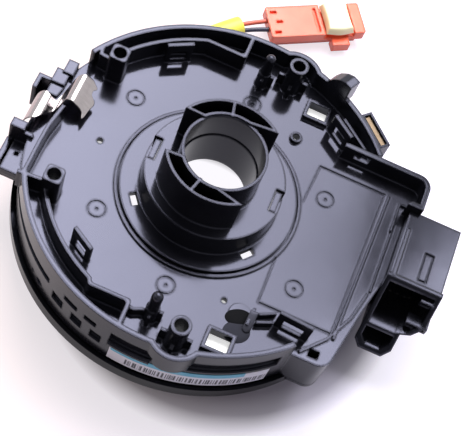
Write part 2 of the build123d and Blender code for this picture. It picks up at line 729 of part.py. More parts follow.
def stator_connector():
    """Vehicle-side connector housing with an upper and a lower cavity."""
    body = connector_length(0, 0, plug_block_back)
    body += connector_length(-plug_rim, 0, plug_block_back) - connector_length(-1, plug_rim_depth, plug_block_back + 1)
    cavity = connector_length(plug_wall, -5.0, cavity_back)
    body -= cavity & block((cavity_left - 5, cavity_right + 5), (-60, 60), (divider_top, plug_block_top))
    lower = (cavity_left, narrow_right - plug_wall)
    body -= cavity & block(lower, (-60, 60), (plug_block_bottom, divider_bottom))
    near = plug_block_left + pocket_offset
    front = plug_block_mouth_top + pocket_setback
    pocket = block((near, near + pocket_width), (front, front + pocket_length),
                   (plug_block_top - 1.2 * pocket_line, plug_block_top + 2))
    pocket -= block((near + pocket_line, near + pocket_width - pocket_line),
                    (front + pocket_line, front + pocket_length - pocket_line),
                    (plug_block_top - 2, plug_block_top - 0.2 * pocket_line))
    near = plug_block_left + ridge_offset
    ridge = block((near, near + ridge_width), (front - 2.0, front + pocket_length + 5.0),
                  (plug_block_top - 0.5, plug_block_top + ridge_height))
    return body - pocket + ridge + connector_lugs()


def connector_lugs():
    """Keys for the harness plug, at the mouth's right side."""
    lugs = []
    for x, z, reach in ((cavity_right - 3.6, 0.4, 4.0), (plug_block_right - 5.6, -6.0, 6.6)):
        front = plug_block_mouth_top - (plug_block_top - z) * mouth_slope
        outer = block((x, x + reach), (front + 0.4, front + 4.0), (z - 1.3, z + 1.3))
        lugs.append(outer - block((x + 0.7, x + reach - 0.7), (front - 1, front + 3.0), (z - 0.6, z + 0.6)))
    return lugs[0] + lugs[1]


def pin_rows(columns, x, heights):
    """Flat pins in rows, standing in a cavity with their roots in its back wall."""
    pins = []
    for height in heights:
        for column in range(columns):
            place = x[0] + (x[1] - x[0]) * (column + 0.5) / columns
            pins.append(block((place - pin_size / 2, place + pin_size / 2), (cavity_back - 8.0, cavity_back),
                              (height - pin_size / 2, height + pin_size / 2)))
    return Compound(children=pins)


def terminal_carrier():
    """Insert in the extension that joins the ribbon's leads to the connector."""
    length = (plug_block_back - carrier_length - wall_thickness, plug_block_back - wall_thickness)
    return block((case_radius + 0.3, extension_edge - wall_thickness), length, (carrier_bottom, carrier_top))


def rotor_socket():
    """Connector under the rotor for the steering wheel's switches, open towards the wheel."""
    inner_x = (socket_x[0] + socket_wall, socket_x[1] - socket_wall)
    inner_y = (socket_y[0] + socket_wall, socket_y[1] - socket_wall)
    shell = block(socket_x, socket_y, (socket_mouth, disc_bottom))
    shell -= block(inner_x, inner_y, (socket_mouth - 1, disc_bottom - socket_floor))
    key = block((-socket_key / 2, socket_key / 2), (socket_y[0] - 1, socket_y[0] + socket_wall + 0.1),
                (socket_mouth - 1, socket_mouth + socket_key_height))
    return shell - key


def rotor_pins():
    """Two rows of pins in the wheel-side socket."""
    pins = []
    row = socket_pin_share * (socket_depth - 2 * socket_wall)
    pitch = (socket_width - 2 * socket_wall) / (socket_pin_columns + 0.5)
    for y in (-under_disc_radius - row, -under_disc_radius + row):
        for column in range(socket_pin_columns):
            x = pitch * (column - (socket_pin_columns - 1) / 2)
            pins.append(block((x - pin_size / 2, x + pin_size / 2), (y - pin_size / 2, y + pin_size / 2),
                              (socket_mouth + 1.6, disc_bottom - socket_floor)))
    return Compound(children=pins)


def label():
    """Plain paper strip on the skirt."""
    return sector(case_radius + label_thickness, case_radius, *label_angles, label_bottom, label_top)


def leaf(profile, y0, y1):
    """A bent strip of sheet metal whose folds run along Y."""
    up = []
    down = []
    for index, point in enumerate(profile):
        before = Vector(*profile[max(index - 1, 0)])
        after = Vector(*profile[min(index + 1, len(profile) - 1)])
        along = (after - before).normalized()
        up.append((point[0] - along.Y * sheet_metal / 2, point[1] + along.X * sheet_metal / 2))
        down.append((point[0] + along.Y * sheet_metal / 2, point[1] - along.X * sheet_metal / 2))
    outline = up + down[::-1]
    face = make_face(Polyline(*[(x, y0, z) for x, z in outline], close=True))
    return extrude(face, y1 - y0, dir=(0, 1, 0))


def left_spring_clip():
    """Nickel leaf spring with two bowed tongues side by side."""
    far = -case_radius
    outer = leaf([(far - 2.6, 0.4), (far - 1.8, 3.0), (far - 0.4, 4.4), (far + 1.4, 4.2), (far + 3.0, 2.6),
                  (far + 4.4, 2.0)], *outer_leaf)
    inner = leaf([(far + 4.4, 2.0), (far + 5.2, 4.4), (far + 6.4, 6.6), (far + 7.6, 6.8), (far + 9.0, 5.4),
                  (far + 10.4, 3.4), (far + 12.2, 1.0)], *inner_leaf)
    return outer + inner


def right_spring_clip():
    """Small grounding clip in its frame outside the wall."""
    near = case_radius + right_clip_offset
    width = (-right_clip_width / 2, right_clip_width / 2)
    strip = block((near, near + sheet_metal), width, (right_clip_low, right_clip_high))
    strip += block((near, near + right_clip_depth), width, (right_clip_high - sheet_metal, right_clip_high))
    return Rot(0, 0, right_clip_angle) * strip


def along_squib(distance, side=0.0):
    """A point on the plug's axis, in plan."""
    angle = math.radians(squib_angle)
    return (squib_nose[0] + distance * math.cos(angle) - side * math.sin(angle),
            squib_nose[1] + distance * math.sin(angle) + side * math.cos(angle))


def arc_radii(points):
    """For each corner, the largest arc that its two runs allow."""
    radii = []
    for before, corner, after in zip(points, points[1:], points[2:]):
        into = Vector(*corner) - Vector(*before)
        away = Vector(*after) - Vector(*corner)
        half_turn = math.radians(into.get_angle(away) / 2)
        radii.append(0.45 * min(into.length, away.length) / math.tan(half_turn))
    return radii


def tube_path(points):
    radii = arc_radii(points)
    print("arc radii", [round(radius, 1) for radius in radii])
    return FilletPolyline(*points, radius=radii)


def swept(points, radius, bore=0.0):
    path = tube_path(points)
    start = Plane(origin=path @ 0, z_dir=path % 0)
    section = start * Circle(radius)
    if bore:
        section = section - start * Circle(bore)
    solid = sweep(section, path=path)
    area = math.pi * (radius ** 2 - bore ** 2)
    print("volume over section times length", round(solid.volume / (area * path.length), 4))
    return solid


def wire(side):
    """One conductor: through the sleeve, then across to the plug."""
    shift = (-side * wire_offset * 0.87, side * wire_offset * 0.5)
    points = [(x + shift[0], y + shift[1], z) for x, y, z in pigtail_route]
    points[0] = (pigtail_route[0][0] + shift[0], pigtail_route[0][1] + 0.1, sleeve_height)
    entry = along_squib(0.0, side * entry_offset)
    points.append((entry[0], entry[1], entry_height))
    return swept(points, wire_radius)


def pigtail_gland():
    """Clamp on the rotor that holds the sleeve's end."""
    along = Vector(*pigtail_route[1]) - Vector(*pigtail_route[0])
    turn = math.degrees(math.atan2(along.Y, along.X))
    half = sleeve_radius + gland_wall
    body = block((-gland_wall, gland_length), (-half, half), (rest_height + 0.6, ring_bottom - axial_gap))
    body += block((-gland_neck / 2, gland_neck / 2), (-gland_neck / 2, gland_neck / 2),
                  (sleeve_height + sleeve_radius, disc_bottom))
    bore = Rot(0, 90, 0) * Cylinder(sleeve_radius + 0.05, 2 * gland_length,
                                    align=(Align.CENTER, Align.CENTER, Align.MIN))
    body -= Pos(0, 0, sleeve_height) * bore
    slot = gland_slot * sleeve_radius
    body -= block((0, gland_length + 1), (-slot, slot), (rest_height, sleeve_height))
    return Pos(*pigtail_start, 0) * Rot(0, 0, turn) * body


def on_squib(solid):
    return Pos(squib_nose[0], squib_nose[1], rest_height) * Rot(0, 0, squib_angle) * solid


def plug_body():
    """Airbag plug, lying on the table: a wide shell over a narrower foot."""
    half = squib_width / 2
    shell = extrude(RectangleRounded(squib_length, squib_width, 0.8), squib_shell)
    body = Pos(squib_length / 2, 0, squib_height - squib_shell) * shell
    foot = half - squib_inset
    body += block((squib_inset, squib_length - squib_inset), (-foot, foot), (0, squib_height - squib_shell + 0.1))
    top = squib_height + 1
    seat = (lock_start - 0.3, lock_start + lock_length + 0.3)
    body -= block(seat, (-half - 1, half + 1), (lock_seat, top))
    body -= block((lock_start - 2.6, lock_start - 1.6), (-half + 1.4, half - 1.4), (squib_height - 0.7, top))
    body -= lock_legs(lock_leg_gap, lock_seat - lock_leg_length, top)
    for place, side in ((1.4, 0.32), (2.8, 0.0), (1.4, -0.34)):
        middle = side * squib_width
        body -= block((place, place + 2.2), (middle - 0.5, middle + 0.5), (squib_height - 1.2, top))
    channel = entry_height - rest_height
    for side in (1, -1):
        body -= Pos(0, side * entry_offset, channel) * Rot(0, 90, 0) * Cylinder(
            wire_radius + 0.15, 8.0, align=(Align.CENTER, Align.CENTER, Align.MIN))
    inside_half = entry_offset + 1.4
    body -= block((8.0, squib_length - 9.0), (-inside_half, inside_half), (1.4, 3.2))
    body -= block((7.0, 8.2), (-inside_half, inside_half), (1.4, channel + 0.6))
    body += block((lock_start + 2.2, lock_start + 8.2), (-half - 3.0, -half + 0.1), (1.6, lock_seat))
    body -= block((squib_length - 9.0, squib_length + 1), (-3.4, 3.4), (1.2, 3.4))
    return on_squib(body)


def lock_legs(gap, low, high):
    """The lock's two legs, or with a gap the slots that they slide in."""
    middle = lock_start + lock_length / 2
    legs = [block((middle - 0.7 - gap, middle + 0.7 + gap), (side - 0.5 - gap, side + 0.5 + gap), (low, high))
            for side in (-3.3, 3.3)]
    return legs[0] + legs[1]


def plug_lock():
    """Secondary lock pressed into the plug's top."""
    body = extrude(RectangleRounded(lock_length, squib_width + 0.4, 1.2), lock_thickness)
    body = Pos(lock_start + lock_length / 2, 0, lock_low) * body
    return on_squib(body + lock_legs(0.0, lock_low - lock_leg_length, lock_low + 0.5))


def plug_terminals():
    contacts = []
    for side in (1, -1):
        place = side * entry_offset
        contacts.append(on_squib(block((8.4, squib_length - 9.2), (place - 0.5, place + 0.5), (1.8, 2.8))))
    return Compound(children=contacts)


nodes = {
    "rear_case": rear_case(),
    "front_ring": front_ring(),
    "rotor": rotor(),
    "cancel_cam": cancel_cam(),
    "slide_sheet": slide_sheet(),
    "flat_cable": flat_cable(),
    "inner_cable_holder": inner_cable_holder(),
    "outer_cable_holder": outer_cable_holder(),
    "terminal_cover": terminal_cover(),
    "stator_connector": stator_connector(),
    "terminal_carrier": terminal_carrier(),
    "upper_pins": pin_rows(4, (cavity_left, narrow_right), (-6.5, -0.5)),
    "lower_pins": pin_rows(3, (cavity_left, narrow_right - plug_wall), (-12.4,)),
    "rotor_socket": rotor_socket(),
    "rotor_pins": rotor_pins(),
    "label": label(),
    "left_spring_clip": left_spring_clip(),
    "right_spring_clip": right_spring_clip(),
    "pigtail_gland": pigtail_gland(),
    "pigtail_sleeve": swept(pigtail_route, sleeve_radius, sleeve_bore),
    "wire_red": wire(1),
    "wire_black": wire(-1),
    "plug_body": plug_body(),
    "plug_lock": plug_lock(),
    "plug_terminals": plug_terminals(),
}

for name, solid in nodes.items():
    export_step(solid, f"parts/{name}.step")
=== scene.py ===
import json
import math

import bpy
from mathutils import Matrix, Vector


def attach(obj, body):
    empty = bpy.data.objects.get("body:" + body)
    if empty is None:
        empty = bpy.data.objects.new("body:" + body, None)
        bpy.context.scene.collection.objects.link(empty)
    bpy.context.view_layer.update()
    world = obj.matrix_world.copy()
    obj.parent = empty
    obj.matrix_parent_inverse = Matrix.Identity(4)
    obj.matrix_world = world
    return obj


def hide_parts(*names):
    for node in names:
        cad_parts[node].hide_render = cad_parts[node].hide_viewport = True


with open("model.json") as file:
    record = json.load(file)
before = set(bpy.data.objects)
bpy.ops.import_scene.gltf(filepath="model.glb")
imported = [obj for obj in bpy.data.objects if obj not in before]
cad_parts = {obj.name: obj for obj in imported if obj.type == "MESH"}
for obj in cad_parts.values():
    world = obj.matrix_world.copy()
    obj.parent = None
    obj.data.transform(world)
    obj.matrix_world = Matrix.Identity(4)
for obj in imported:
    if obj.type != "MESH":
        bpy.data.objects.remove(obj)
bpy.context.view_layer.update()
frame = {"nodes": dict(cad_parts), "record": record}

# The scene is in metres, in the part's frame: the origin is on the steering axis, level with the
# case's plate, +Z points towards the column and +X towards the vehicle-side connector. Shapes are
# worked out in millimetres and scaled by MM.
MM = 0.001

# Camera, fitted to the photograph. The roll is in degrees, the sensor's width in millimetres.
CAMERA_PLACE = Vector((0.85, -190.7, 315.9)) * MM
CAMERA_TARGET = Vector((9.0, -4.9, 0.0)) * MM
CAMERA_ROLL = 25.94
CAMERA_FOCAL_PIXELS = 1300
PHOTO_WIDTH = 463
SENSOR_WIDTH = 36
VIEW_NEAR = 10 * MM
VIEW_FAR = 10

# Lamps, all turned towards the origin: name, place, width and height, radiance, colour. The flat
# faces mirror the soft box, which stands behind and above the part. The fills are weak.
WHITE = (1, 1, 1)
WARM_WHITE = (1.0, 0.98, 0.95)
LAMPS = (
    ("soft_box", (-0.08, 0.37, 0.60), (0.42, 0.44), 12.0, WHITE),
    ("side_box", (0.27, 0.34, 0.60), (0.18, 0.34), 9.0, WHITE),
    ("fill_left", (-0.70, -0.20, 0.55), (0.6, 0.6), 0.9, WARM_WHITE),
    ("fill_front", (0.25, -0.75, 0.45), (0.6, 0.4), 0.8, WARM_WHITE),
)

# Fades, each from one place to another and from one level to another: over the soft box's width,
# and in gloss over the Y part of the room's directions, so that the room is dim towards the front
BOX_FADE = (0.0, 0.6, 0.5, 1.0)
ROOM_FADE = (-0.7, 0.1, 0.22, 1.0)
# The room's level where it lights the part, and where the camera sees it
WORLD_LIGHT = 0.30
WORLD_SEEN = 1.0

# Floor: its height, half its side, and the span of X over which its colour changes. Its colour is
# painted shadow tone: darker than the floor's own white, warm brown at the left and lavender at the
# right, and it shows mostly in the shadow, which the glow leaves dark.
FLOOR_HEIGHT = -28 * MM
FLOOR_HALF = 1.5
FLOOR_SPAN = (-0.03, 0.05)
FLOOR_LEFT_SHADOW_TONE = (0.42, 0.31, 0.29, 1)
FLOOR_RIGHT_SHADOW_TONE = (0.48, 0.45, 0.58, 1)
FLOOR_ROUGHNESS = 0.9

# The floor's glow, which is seen, also in gloss and through clear things, but lights nothing matt.
# Its level goes by the distance in metres: inside the bore from the axis, and farther out from the
# middle of the shadow, which it leaves dark.
GLOW_COLOUR = (0.97, 0.95, 1.0, 1)
GLOW_RAYS = ("Is Camera Ray", "Is Glossy Ray", "Is Transmission Ray")
AXIS = (0, 0, 0)
BORE_GLOW = ((0.0265, 1.0), (0.031, 0.0))
SHADOW_MIDDLE = (0.012, -0.002, 0)
FAR_GLOW = ((0.044, 0.0), (0.050, 0.08), (0.057, 0.66), (0.075, 0.74))

# Plastics. A noise is given by its scale and detail, and the part of it that a ramp reads by its
# span. Depths and radii are those of the relief and of the edges that look rounded.
COLOUR_NOISE = (60, 4)
GLOSS_NOISE = (45, 3)
WAVE_NOISE = (55, 2)
SKIN_NOISE = (2200, 2)
NOISE_SPAN = (0.35, 0.65)
GLOSS_SPAN = (0.3, 0.7)
SKIN_STRENGTH = 0.04
SKIN_DEPTH = 0.02 * MM
WAVE_DEPTH = 0.25 * MM
EDGE_SAMPLES = 4
PLASTIC_IOR = 1.52
# The Z of a face's normal below which it counts as upright and above which it counts as flat, and
# how much of its sheen an upright one keeps, which is painted shade that darkens the sides. The
# sheen is the shader's level of reflection.
UPRIGHT_SPAN = (0.3, 0.8)
UPRIGHT_SHADE_SHEEN = 0.5

# Each plastic's darkest and lightest colour, lowest and highest roughness, and what else it needs
# Lavender put into the plastics' reflections is a painted reflection colour: the soft box they
# mirror is white.
PAINTED_REFLECTION_LAVENDER = (0.72, 0.73, 1.0, 1)
PLASTICS = {
    "black_plastic": dict(low=(0.004, 0.004, 0.006), high=(0.008, 0.008, 0.011), gloss=(0.08, 0.19),
                          wave=0.17, tint=PAINTED_REFLECTION_LAVENDER, upright=0.22),
    # Painted shade for the recess beside the front window: a near-black sheet with almost no
    # reflection.
    "recess_painted_shade": dict(low=(0.004, 0.004, 0.005), high=(0.008, 0.008, 0.010), gloss=(0.45, 0.60),
                       edge=0, sheen=0.02),
    # Painted light for the recess's lower part: a sheet whose sheen makes it look grey.
    "recess_painted_light": dict(low=(0.005, 0.005, 0.007), high=(0.009, 0.009, 0.012), gloss=(0.45, 0.60),
                        tint=PAINTED_REFLECTION_LAVENDER, edge=0, sheen=0.16),
    # Lighter than the case's black plastic: painted light for the bright band the hook catches.
    "hook_painted_light": dict(low=(0.03, 0.03, 0.04), high=(0.05, 0.05, 0.065), gloss=(0.35, 0.50),
                          tint=PAINTED_REFLECTION_LAVENDER, edge=0),
    "gloss_black": dict(low=(0.003, 0.003, 0.004), high=(0.006, 0.006, 0.008), gloss=(0.06, 0.10),
                        tint=PAINTED_REFLECTION_LAVENDER, edge=0.5, sheen=0.08),
    "dark_plastic": dict(low=(0.012, 0.012, 0.016), high=(0.020, 0.020, 0.027), gloss=(0.26, 0.40),
                         tint=PAINTED_REFLECTION_LAVENDER, edge=0.6, upright=0.4),
    # The film's glow is painted light that makes it look brightly lit in the windows.
    "clear_film": dict(low=(0.93, 0.93, 0.93), high=(0.96, 0.96, 0.96), gloss=(0.3, 0.4), edge=0,
                       glow=0.60),
    "ribbon": dict(low=(0.60, 0.57, 0.48), high=(0.68, 0.65, 0.56), gloss=(0.25, 0.4), edge=0),
    "yellow_sleeve": dict(low=(0.94, 0.86, 0.10), high=(1.0, 0.95, 0.20), gloss=(0.25, 0.4),
                          edge=0),
    "red_wire": dict(low=(0.75, 0.12, 0.08), high=(0.85, 0.20, 0.14), gloss=(0.3, 0.4), edge=0),
    "black_wire": dict(low=(0.02, 0.02, 0.05), high=(0.05, 0.05, 0.09), gloss=(0.3, 0.4), edge=0),
    "orange_plastic": dict(low=(1.0, 0.13, 0.06), high=(1.0, 0.19, 0.10), gloss=(0.18, 0.28)),
    "ivory_plastic": dict(low=(0.97, 0.88, 0.52), high=(1.0, 0.94, 0.66), gloss=(0.3, 0.4), edge=0),
}

# Metals: colour, and lowest and highest roughness. Their noise is stretched along the rolling, and
# their darker parts are the colour times a shade.
METALS = {
    "nickel_spring": ((0.44, 0.40, 0.41), (0.14, 0.24)),
    "bronze_spring": ((0.13, 0.095, 0.065), (0.25, 0.4)),
    "tinned_pin": ((0.86, 0.76, 0.58), (0.2, 0.35)),
}
GRAIN_STRETCH = (1, 8, 1)
METAL_COLOUR_NOISE = (300, 4)
METAL_GLOSS_NOISE = (500, 4)
METAL_GRAIN_NOISE = (1500, 3)
METAL_SHADE = 0.9
GRAIN_STRENGTH = 0.04
GRAIN_DEPTH = 0.01 * MM

# Label: heights of the bars and of the band, and their spans as the angle from -Y in radians, each
# with the width over which its edges fade. A bar is where the noise is above the cut.
# The paper's own white, greyed and tinted lavender as painted shade.
SHADED_PAPER = (0.72, 0.71, 0.80, 1)
PALE_BLUE = (0.12, 0.42, 0.60, 1)
INK = (0.05, 0.05, 0.07, 1)
BAR_ROW = (-12.6 * MM, -9.6 * MM)
BAND_ROW = (-8.2 * MM, -6.0 * MM)
ROW_FADE = 0.15 * MM
BAR_SPAN = (-0.042, 0.712)
BAND_SPAN = (-0.13, 0.58)
SPAN_FADE = 0.005
BAR_NOISE = (95, 2)
BAR_CUT = (0.48, 0.51)
PAPER_NOISE = (400, 3)
PAPER_GLOSS = (0.35, 0.5)

# Nodes whose finish differs from their slot's
FINISH = {"right_spring_clip": "bronze_spring", "front_ring": "gloss_black"}

# Pigtail: the route's points, in millimetres, as in the part's source
PIGTAIL_HEIGHT = -24.6
PIGTAIL_ROUTE = [
    (-30.64, 26.64, PIGTAIL_HEIGHT),
    (-31.0, 41.0, PIGTAIL_HEIGHT),
    (-28.5, 55.0, PIGTAIL_HEIGHT),
    (-21.5, 68.0, PIGTAIL_HEIGHT),
    (-12.6, 78.0, PIGTAIL_HEIGHT),
]
SLEEVE_RADIUS = 3.4 * MM
WIRE_RADIUS = 0.75 * MM
# Cord lengths in metres
SLEEVE_LENGTH = 0.0565
RED_WIRE_LENGTH = 0.066
BLACK_WIRE_LENGTH = 0.0645
# The wires run beside the sleeve's line, start just inside it, and enter the plug at its nose. Then
# how finely the cords are divided, along them and round them.
WIRE_OFFSET = 1.1
WIRE_SIDEWAYS = (-0.87, 0.5)
WIRE_START = 0.1
ENTRY_OFFSET = 1.7
ENTRY_HEIGHT = -22.6
CORD_STEPS = 12
CORD_ROUNDNESS = 6

# Plug and lock: a point on the plug is given by its distance from the nose, its side and its height
PLUG_NOSE = (-4.4, 81.5)
PLUG_ANGLE = math.radians(32.8)
PLUG_WIDTH = 12.1
LOCK_START = 19.1
LOCK_LENGTH = 9.9
LOCK_OVERHANG = 0.4
LOCK_LOW = -21.2
LOCK_HIGH = -18.4
LOCK_CROWN = 0.5
LOCK_STEPS = 20
# Shares of the lock's length: in its middle, and what it gains at its sides. Shares of its width:
# on average, and the wave along it. Then how square its outline is and how steeply its sides rise.
LOCK_ENDS = (0.90, 0.10)
LOCK_WAVE = (0.97, 0.05)
LOCK_SQUARE = 8
LOCK_STEEP = 3

# Left clip: a sheet bent in two lobes. By X, its height, and the Y of its front and back edges.
CLIP_THICKNESS = 0.4
CLIP_HEIGHT = [(-55.7, 0.0), (-55.1, 2.6), (-53.6, 4.3), (-51.8, 4.1), (-50.2, 2.8), (-49.0, 2.3),
               (-48.1, 3.4), (-46.9, 5.6), (-45.5, 6.3), (-44.1, 5.6), (-42.4, 4.2), (-40.6, 2.9)]
CLIP_FRONT = [(-55.7, -4.4), (-52.6, -3.6), (-47.1, 5.6), (-46.0, 5.3), (-42.2, 5.0), (-41.5, 4.2),
              (-41.0, 2.2), (-40.6, 5.6)]
CLIP_BACK = [(-55.7, 5.8), (-53.0, 6.4), (-51.2, 5.6), (-49.8, 5.8), (-49.0, 8.8), (-48.0, 12.4),
             (-46.8, 14.6), (-45.2, 15.6), (-42.6, 15.8), (-40.6, 14.6)]
# By Y, how far its torn end stands out; the X where it starts to; and its drop for each millimetre
CLIP_END = [(2.0, 0.0), (6.6, 0.2), (9.6, 0.9), (10.6, 0.5), (11.3, -0.9), (12.8, -1.1),
            (14.0, -0.3), (16.0, -0.5)]
CLIP_END_START = -43.5
CLIP_END_DROP = 0.8
CLIP_STEPS_ACROSS = 6
CLIP_STEPS_ALONG = 28

# Recess beside the front window, on a pad that covers the mark there, painted with flat sheets: a
# near-black one is painted shade where the recess is in shadow, and a grey one below it is its
# painted lit lower part. Each dish has a name, middle, half length and half width, rise and finish.
DISHES = (
    ("recess_pad", (21.35, -31.55), (3.1, 3.1), 0.04, "black_plastic"),
    ("painted_light_sheet", (22.2, -37.0), (3.9, 3.3), 0.16, "recess_painted_light"),
    ("painted_shade_sheet", (21.2, -32.6), (3.8, 2.5), 0.20, "recess_painted_shade"),
)
DISH_SLANT = math.radians(26)
DISH_RINGS = 6
DISH_STEPS = 48
# How late a dish falls off towards its rim
DISH_RIM = 4

# Hook over the recess's right edge: its foot and head, and how its bow and lean change upwards
HOOK_FOOT = (24.4, -35.2)
HOOK_HEAD = (24.6, -29.8)
HOOK_HEIGHT = 2.4
HOOK_WIDTH = 2.2
HOOK_THICKNESS = 0.7
HOOK_BOW = 0.9
HOOK_BOW_LOSS = 0.4
HOOK_LEAN = 1.6
HOOK_STEPS = 8


class Nodes:
    """Short calls for building a node tree. A value is a number, a colour or a node's output."""

    def __init__(self, tree):
        self.tree = tree

    def give(self, socket, value):
        """Sets a socket to a value, or links it."""
        if isinstance(value, bpy.types.NodeSocket):
            self.tree.links.new(value, socket)
        else:
            socket.default_value = value

    def add(self, kind, values=None, **settings):
        """A new node with its settings, and its inputs' values by name or number."""
        node = self.tree.nodes.new(kind)
        for key, setting in settings.items():
            setattr(node, key, setting)
        for key, value in (values or {}).items():
            self.give(node.inputs[key], value)
        return node

    def math(self, operation, first, second):
        return self.add("ShaderNodeMath", {0: first, 1: second}, operation=operation).outputs[0]

    def vector_math(self, operation, first, second):
        node = self.add("ShaderNodeVectorMath", {0: first, 1: second}, operation=operation)
        return node.outputs["Vector"]

    def object_place(self):
        return self.add("ShaderNodeTexCoord").outputs["Object"]

    def parts(self, vector):
        """A vector's X, Y and Z."""
        return self.add("ShaderNodeSeparateXYZ", {0: vector}).outputs

    def map_range(self, value, start, end, low=0.0, high=1.0):
        """Maps a value from its own range to another, and keeps it there."""
        return self.add("ShaderNodeMapRange", {
            "Value": value, "From Min": start, "From Max": end, "To Min": low, "To Max": high,
        }).outputs["Result"]

    def ramp(self, value, *stops):
        """A level or colour for each value, from stops of a place and its level or colour."""
        node = self.add("ShaderNodeValToRGB", {"Fac": value})
        elements = node.color_ramp.elements
        for index, (place, level) in enumerate(stops):
            stop = elements[index] if index < 2 else elements.new(place)
            stop.position = place
            stop.color = level if hasattr(level, "__len__") else (level, level, level, 1)
        return node.outputs["Color"]

    def noise(self, scale, detail, stretch=(1, 1, 1)):
        """Noise by the place on the piece."""
        values = {"Vector": self.object_place(), "Scale": stretch}
        place = self.add("ShaderNodeMapping", values).outputs["Vector"]
        values = {"Vector": place, "Scale": scale, "Detail": detail}
        return self.add("ShaderNodeTexNoise", values).outputs["Fac"]

    def by_ray(self, kinds, otherwise, level):
        """One level for the named kinds of ray, and another for the rest."""
        path = self.add("ShaderNodeLightPath").outputs
        either = path[kinds[0]]
        for kind in kinds[1:]:
            either = self.math("MAXIMUM", either, path[kind])
        return self.map_range(either, 0.0, 1.0, otherwise, level)


class Surface(Nodes):
    """A material's node tree, with its shader."""

    def __init__(self, name):
        self.material = bpy.data.materials.new(name)
        self.material.use_nodes = True
        super().__init__(self.material.node_tree)
        self.shader = self.tree.nodes["Principled BSDF"]

    def set(self, name, value):
        self.give(self.shader.inputs[name], value)

    def bump(self, height, strength, depth, below=None):
        """A relief, on top of the one below it."""
        values = {"Height": height, "Strength": strength, "Distance": depth}
        if below:
            values["Normal"] = below
        return self.add("ShaderNodeBump", values).outputs["Normal"]


def between(span, low, high):
    """Two stops of a ramp, from one level at the span's start to another at its end."""
    return (span[0], low), (span[1], high)


def add_camera():
    camera = bpy.data.objects.new("camera", bpy.data.cameras.new("camera"))
    camera.data.sensor_width = SENSOR_WIDTH
    camera.data.lens = CAMERA_FOCAL_PIXELS / PHOTO_WIDTH * SENSOR_WIDTH
    camera.data.clip_start = VIEW_NEAR
    camera.data.clip_end = VIEW_FAR
    look = CAMERA_TARGET - CAMERA_PLACE
    turn = look.to_track_quat("-Z", "Y").to_matrix().to_4x4()
    roll = Matrix.Rotation(math.radians(CAMERA_ROLL), 4, "Z")
    camera.matrix_world = Matrix.Translation(CAMERA_PLACE) @ turn @ roll
    bpy.context.collection.objects.link(camera)
    bpy.context.scene.camera = camera


def add_lamp(name, place, size, radiance, colour):
    """An area lamp of a given radiance, turned towards the origin."""
    data = bpy.data.lights.new(name, "AREA")
    data.shape = "RECTANGLE"
    data.size, data.size_y = size
    data.energy = radiance * math.pi * size[0] * size[1]
    data.color = colour
    lamp = bpy.data.objects.new(name, data)
    turn = (-Vector(place)).to_track_quat("-Z", "Y").to_matrix().to_4x4()
    lamp.matrix_world = Matrix.Translation(place) @ turn
    bpy.context.collection.objects.link(lamp)
    return lamp


def fade_across(lamp):
    """Lets a lamp fade towards one side."""
    lamp.data.use_nodes = True
    nodes = Nodes(lamp.data.node_tree)
    across = nodes.parts(nodes.add("ShaderNodeNewGeometry").outputs["Parametric"])["X"]
    emission = nodes.tree.nodes["Emission"]
    nodes.give(emission.inputs["Strength"], nodes.map_range(across, *BOX_FADE))


def add_world():
    """A room that lights the part weakly, is seen as white, and is dim at the front in gloss."""
    world = bpy.data.worlds.new("studio")
    world.use_nodes = True
    bpy.context.scene.world = world
    nodes = Nodes(world.node_tree)
    background = nodes.tree.nodes["Background"]
    background.inputs["Color"].default_value = (1, 1, 1, 1)
    forward = nodes.parts(nodes.add("ShaderNodeTexCoord").outputs["Generated"])["Y"]
    room = nodes.map_range(forward, *ROOM_FADE)
    unseen = nodes.by_ray(("Is Glossy Ray", "Is Transmission Ray"), WORLD_LIGHT, room)
    level = nodes.by_ray(("Is Camera Ray",), unseen, WORLD_SEEN)
    nodes.give(background.inputs["Strength"], level)


def add_light():
    lamps = {lamp[0]: add_lamp(*lamp) for lamp in LAMPS}
    fade_across(lamps["soft_box"])
    add_world()


def glow_round(nodes, middle, levels):
    """The glow's level by the distance from a point of the floor."""
    from_middle = nodes.vector_math("SUBTRACT", nodes.object_place(), middle)
    flat = nodes.vector_math("MULTIPLY", from_middle, (1, 1, 0))
    length = nodes.add("ShaderNodeVectorMath", {0: flat}, operation="LENGTH").outputs["Value"]
    far_out = levels[-1][0]
    stops = [(distance / far_out, level) for distance, level in levels]
    return nodes.ramp(nodes.map_range(length, 0.0, far_out), *stops)


def add_floor():
    """Floor under the part, coloured with a painted shadow tone, which glows pale but for the
    part's shadow.
    """
    corners = [(-FLOOR_HALF, -FLOOR_HALF), (FLOOR_HALF, -FLOOR_HALF),
               (FLOOR_HALF, FLOOR_HALF), (-FLOOR_HALF, FLOOR_HALF)]
    mesh = bpy.data.meshes.new("floor")
    mesh.from_pydata([(x, y, FLOOR_HEIGHT) for x, y in corners], [], [(0, 1, 2, 3)])
    floor = bpy.data.objects.new("floor", mesh)
    bpy.context.collection.objects.link(floor)
    surface = Surface("floor")
    across = surface.map_range(surface.parts(surface.object_place())["X"], *FLOOR_SPAN)
    # The colour ramp across X is painted shadow tone: warm brown at the left, lavender at the
    # right.
    surface.set("Base Color", surface.ramp(across, (0.0, FLOOR_LEFT_SHADOW_TONE), (1.0, FLOOR_RIGHT_SHADOW_TONE)))
    surface.set("Roughness", FLOOR_ROUGHNESS)
    surface.set("Specular IOR Level", 0.0)
    surface.set("Emission Color", GLOW_COLOUR)
    glow = surface.math("MAXIMUM", glow_round(surface, AXIS, BORE_GLOW),
                        glow_round(surface, SHADOW_MIDDLE, FAR_GLOW))
    seen = surface.by_ray(GLOW_RAYS, 0.0, 1.0)
    surface.set("Emission Strength", surface.math("MULTIPLY", seen, glow))
    floor.data.materials.append(surface.material)


